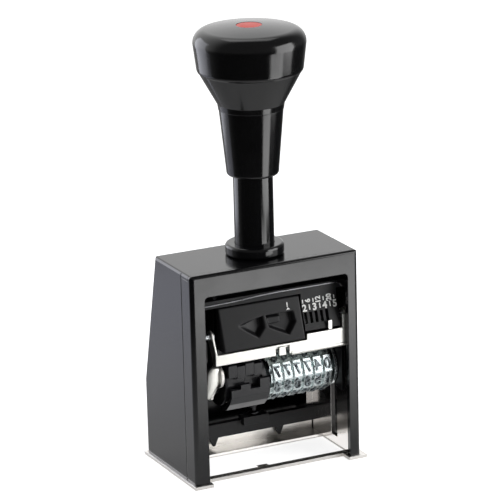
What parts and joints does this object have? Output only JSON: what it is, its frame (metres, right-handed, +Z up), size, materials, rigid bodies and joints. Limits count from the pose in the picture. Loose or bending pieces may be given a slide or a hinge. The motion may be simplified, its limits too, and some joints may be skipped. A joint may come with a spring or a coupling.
{
  "type": "numbering machine",
  "caption": "Hand numbering machine: a press knob on a stem drives a flipping set of figure wheels onto the paper.",
  "frame": {"origin": "on the underside of the base plate, under the stem's axis, where the figures print", "axes": "+Z up along the stem, -Y towards the window, +X to the right seen from the window"},
  "size_m": [0.0678, 0.0464, 0.1595],
  "materials": {
    "gloss_black": "moulded gloss black plastic",
    "stem_black": "polished black",
    "satin_black": "moulded satin black plastic",
    "bright_steel": "bright nickel plated",
    "zinc_steel": "zinc plated",
    "wheel_metal": "bright cast and plated",
    "dark_steel": "blackened steel",
    "cap_red": "red plastic",
    "felt": "ink felt"
  },
  "bodies": {
    "housing": {"front_frame": "gloss_black", "rear_shell": "gloss_black", "base_plate": "bright_steel", "collar": "gloss_black", "collar_nut": "zinc_steel", "left_guide_plate": "dark_steel", "right_guide_plate": "bright_steel", "pointer_rail": "satin_black", "spring_guide_rod": "zinc_steel", "frame_pins": "zinc_steel", "selector_panel": "satin_black", "base_screws": "zinc_steel"},
    "plunger": {"stem": "stem_black", "grip_sleeve": "gloss_black", "knob": "gloss_black", "knob_cap": "cap_red", "knob_screw": "zinc_steel", "crosshead": "satin_black", "crosshead_screws": "zinc_steel", "left_fork_arm": "dark_steel", "right_fork_arm": "dark_steel", "return_spring": "zinc_steel"},
    "wheel_carriage": {"wheel_axle": "zinc_steel", "axle_clip": "zinc_steel", "cam_crank": "bright_steel", "inner_cheek": "dark_steel", "tie_rod": "zinc_steel", "blank_spacers": "satin_black", "shims": "satin_black", "end_ring": "wheel_metal", "stepped_comb": "satin_black"},
    "pawl": {"feed_pawl": "zinc_steel"},
    "pad_holder": {"pad_frame": "bright_steel", "pad_clip": "bright_steel", "ink_pad": "felt"},
    "cartridge": {"ink_cartridge": "satin_black"},
    "selector": {"repeat_selector": "bright_steel"},
    "wheel_1": {"number_wheel_1": "wheel_metal"},
    "wheel_2": {"number_wheel_2": "wheel_metal"},
    "wheel_3": {"number_wheel_3": "wheel_metal"},
    "wheel_4": {"number_wheel_4": "wheel_metal"},
    "wheel_5": {"number_wheel_5": "wheel_metal"},
    "wheel_6": {"number_wheel_6": "wheel_metal"}
  },
  "joints": [
    {"name": "plunger_press", "type": "slide", "parent": "housing", "child": "plunger", "axis": [0, 0, -1], "range_m": [0, 0.023], "stiffness_N_per_m": 120, "springref_m": -0.02, "deforming": ["return_spring"]},
    {"name": "carriage_flip", "type": "hinge", "parent": "plunger", "child": "wheel_carriage", "pos_m": [0, 0, 0.03244], "axis": [1, 0, 0], "range_deg": [0, 180]},
    {"name": "pawl_rock", "type": "hinge", "parent": "wheel_carriage", "child": "pawl", "pos_m": [0, 0, 0.03244], "axis": [-1, 0, 0], "range_deg": [0, 36]},
    {"name": "pad_lift", "type": "hinge", "parent": "housing", "child": "pad_holder", "pos_m": [0, -0.0085, 0.0526], "axis": [1, 0, 0], "range_deg": [0, 6]},
    {"name": "cartridge_pull", "type": "slide", "parent": "housing", "child": "cartridge", "axis": [0, -0.9511, 0.309], "range_m": [0, 0.02]},
    {"name": "repeat_set", "type": "slide", "parent": "housing", "child": "selector", "axis": [-1, 0, 0], "range_m": [0, 0.0084]},
    {"name": "wheel_1_turn", "type": "hinge", "parent": "wheel_carriage", "child": "wheel_1", "pos_m": [0, 0, 0.03244], "axis": [1, 0, 0], "continuous": true},
    {"name": "wheel_2_turn", "type": "hinge", "parent": "wheel_carriage", "child": "wheel_2", "pos_m": [0, 0, 0.03244], "axis": [1, 0, 0], "continuous": true},
    {"name": "wheel_3_turn", "type": "hinge", "parent": "wheel_carriage", "child": "wheel_3", "pos_m": [0, 0, 0.03244], "axis": [1, 0, 0], "continuous": true},
    {"name": "wheel_4_turn", "type": "hinge", "parent": "wheel_carriage", "child": "wheel_4", "pos_m": [0, 0, 0.03244], "axis": [1, 0, 0], "continuous": true},
    {"name": "wheel_5_turn", "type": "hinge", "parent": "wheel_carriage", "child": "wheel_5", "pos_m": [0, 0, 0.03244], "axis": [1, 0, 0], "continuous": true},
    {"name": "wheel_6_turn", "type": "hinge", "parent": "wheel_carriage", "child": "wheel_6", "pos_m": [0, 0, 0.03244], "axis": [1, 0, 0], "continuous": true}
  ],
  "couplings": [
    {"joint": "carriage_flip", "follows": "plunger_press", "rad_per_m": 136.59},
    {"joint": "pawl_rock", "follows": "plunger_press", "rad_per_m": 27.318},
    {"joint": "pad_lift", "follows": "plunger_press", "rad_per_m": 4.553}
  ]
}
